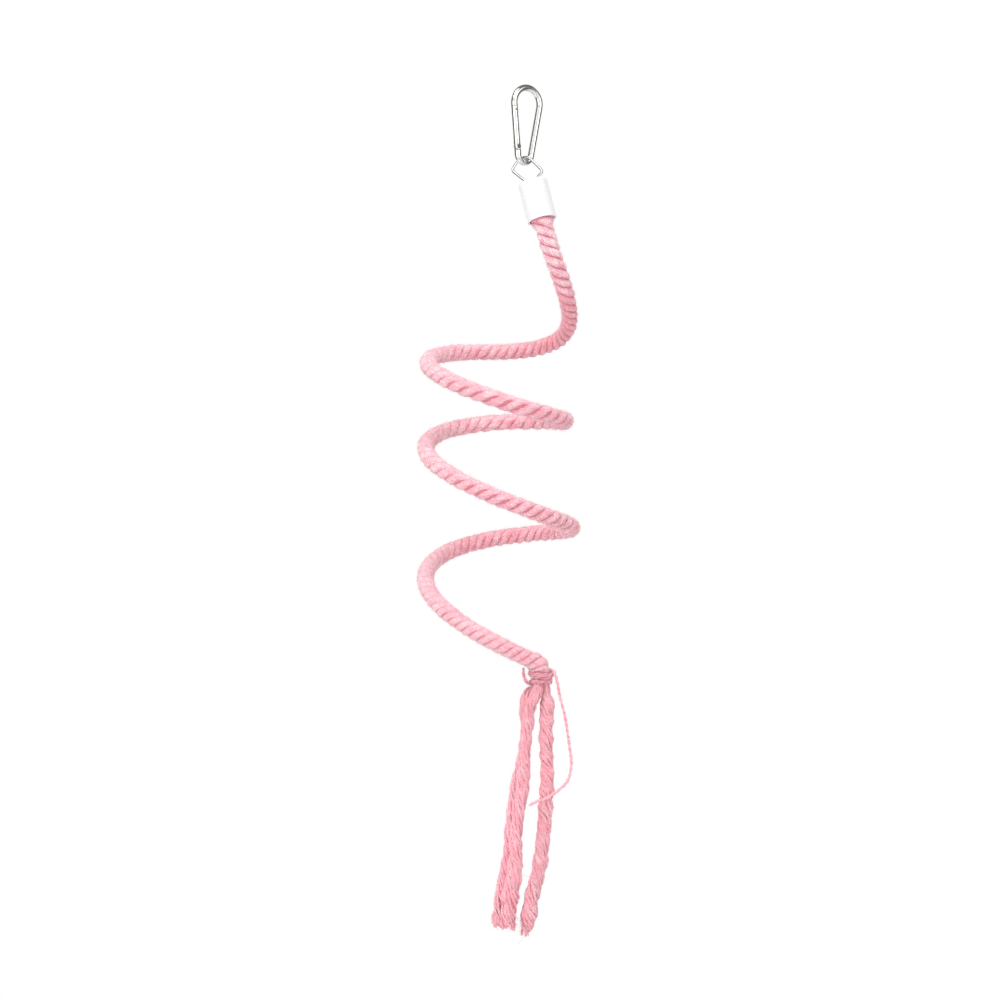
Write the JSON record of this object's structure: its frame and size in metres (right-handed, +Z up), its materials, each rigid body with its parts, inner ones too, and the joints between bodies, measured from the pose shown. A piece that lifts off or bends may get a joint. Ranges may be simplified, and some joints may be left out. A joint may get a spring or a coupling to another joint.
{
  "type": "hanging spiral bird perch",
  "caption": "Cotton rope perch wound into an open spiral on a bent core wire, hung by a snap hook and wire eye in a white end cap, with a loose tassel at the bottom.",
  "frame": {"origin": "inside of the snap hook's top bow, on its lowest surface line above the opening, where a cage bar or ring bears", "axes": "+Z up along the hanging perch, +X to the right as the picture shows it, the front faces -Y"},
  "size_m": [0.1196, 0.1226, 0.6221],
  "materials": {
    "hook_steel": "bright plated steel rod, polished",
    "gate_steel": "bright plated steel rod, polished",
    "pin_steel": "darker peened steel pin",
    "plunger_brass": "turned brass, hidden in the gate",
    "spring_steel": "spring wire, hidden in the gate",
    "eye_wire": "zinc plated wire, bent by hand",
    "cap_plastic": "white moulded plastic, smooth",
    "glue": "set glue, hidden in the cap",
    "cotton_rope": "dyed soft cotton, three strands laid left-handed, slightly fuzzy",
    "core_steel": "annealed bendable steel wire, hidden in the rope",
    "cotton_yarn": "single dyed cotton yarn"
  },
  "bodies": {
    "hook": {"hook_body": "hook_steel", "rivet": "pin_steel"},
    "gate": {"gate": "gate_steel", "latch_pin": "pin_steel", "spring": "spring_steel"},
    "plunger": {"plunger": "plunger_brass"},
    "perch": {"wire_eye": "eye_wire", "cap": "cap_plastic", "glue": "glue", "rope": "cotton_rope", "core_wire": "core_steel", "binding": "cotton_yarn", "strand_right": "cotton_rope", "strand_left_back": "cotton_rope", "strand_left_front": "cotton_rope", "loose_yarn": "cotton_yarn"}
  },
  "joints": [
    {"name": "gate_hinge", "type": "hinge", "parent": "hook", "child": "gate", "pos_m": [-0.00714, -0.005, -0.04138], "axis": [-0.5736, 0.8192, 0], "range_deg": [0, 30], "stiffness_Nm_per_rad": 0.04, "springref_deg": -34.38},
    {"name": "plunger_slide", "type": "slide", "parent": "gate", "child": "plunger", "axis": [-0.0714, -0.05, 0.9962], "range_m": [0, 0.00093], "deforming": ["spring"]},
    {"name": "eye_swing", "type": "hinge", "parent": "hook", "child": "perch", "pos_m": [-0.0019, -0.00133, -0.05285], "axis": [0.8192, 0.5736, 0], "range_deg": [-60, 60]}
  ],
  "couplings": [
    {"joint": "plunger_slide", "follows": "gate_hinge", "m_per_rad": 0.001757}
  ]
}
